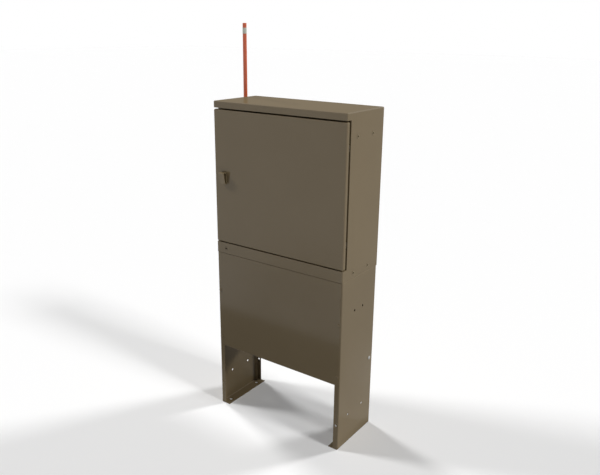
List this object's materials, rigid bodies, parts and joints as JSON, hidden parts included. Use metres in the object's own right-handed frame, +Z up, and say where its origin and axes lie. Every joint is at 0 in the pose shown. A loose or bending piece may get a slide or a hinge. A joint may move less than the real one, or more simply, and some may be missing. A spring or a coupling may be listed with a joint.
{
  "type": "roadside utility cabinet",
  "caption": "Freestanding sheet metal roadside cabinet: a boxed enclosure with a side-hinged door on a two-legged base with skirt panels, and an upright marker rod clamped to one side.",
  "frame": {"origin": "on the ground at the centre of the footprint, which is the centre of the anchor bolt pattern", "axes": "+X to the right as seen from the door, +Y to the back, +Z up"},
  "size_m": [0.6352, 0.2785, 1.6145],
  "materials": {
    "cabinet_paint": "satin powder coat, brown-grey",
    "zinc_plate": "zinc plated",
    "bright_steel": "plain stainless steel",
    "panel_paint": "white paint",
    "copper_bar": "bare copper",
    "insulator": "moulded insulator",
    "black_rubber": "black rubber",
    "seal_foam": "closed cell foam",
    "rod_orange": "orange-red fibreglass",
    "rod_band": "pale reflective band"
  },
  "bodies": {
    "cabinet": {"base_bolts": "zinc_plate", "base_nuts": "zinc_plate", "clamp_screws": "zinc_plate", "earth_bar": "copper_bar", "earth_bar_screws": "bright_steel", "earth_bolt": "zinc_plate", "earth_nut": "zinc_plate", "earth_posts": "insulator", "enclosure_back": "cabinet_paint", "enclosure_floor": "cabinet_paint", "enclosure_shell": "cabinet_paint", "floor_grommets": "black_rubber", "hinge_arm_lower": "zinc_plate", "hinge_arm_upper": "zinc_plate", "hinge_screws": "zinc_plate", "leg_left": "cabinet_paint", "leg_right": "cabinet_paint", "marker_band": "rod_band", "marker_clamp_lower": "cabinet_paint", "marker_clamp_upper": "cabinet_paint", "marker_rod": "rod_orange", "marker_strap_lower": "cabinet_paint", "marker_strap_upper": "cabinet_paint", "mounting_panel": "panel_paint", "panel_nuts": "zinc_plate", "panel_studs": "zinc_plate", "side_inserts_left": "cabinet_paint", "side_inserts_right": "cabinet_paint", "sill_insert": "cabinet_paint", "skirt_front": "cabinet_paint", "skirt_nuts_front": "zinc_plate", "skirt_nuts_rear": "zinc_plate", "skirt_rear": "cabinet_paint", "skirt_screws_front": "cabinet_paint", "skirt_screws_rear": "cabinet_paint", "strap_bolts": "zinc_plate", "terminal_screws": "bright_steel", "tie_bar": "zinc_plate", "tie_bar_screws": "zinc_plate"},
    "door": {"door_shell": "cabinet_paint", "door_stiffener": "zinc_plate", "door_gasket": "seal_foam", "hinge_leaf_lower": "zinc_plate", "hinge_leaf_upper": "zinc_plate", "hinge_pin_lower": "bright_steel", "hinge_pin_upper": "bright_steel", "latch_bushing": "zinc_plate", "latch_nut": "zinc_plate"},
    "latch": {"latch_handle": "cabinet_paint", "latch_cam": "zinc_plate", "cam_nut": "zinc_plate"}
  },
  "joints": [
    {"name": "door_hinge", "type": "hinge", "parent": "cabinet", "child": "door", "pos_m": [0.296, -0.118, 1.0255], "axis": [0, 0, 1], "range_deg": [0, 110]},
    {"name": "latch_turn", "type": "hinge", "parent": "door", "child": "latch", "pos_m": [-0.2575, -0.127, 1.036], "axis": [0, -1, 0], "range_deg": [0, 90]}
  ]
}
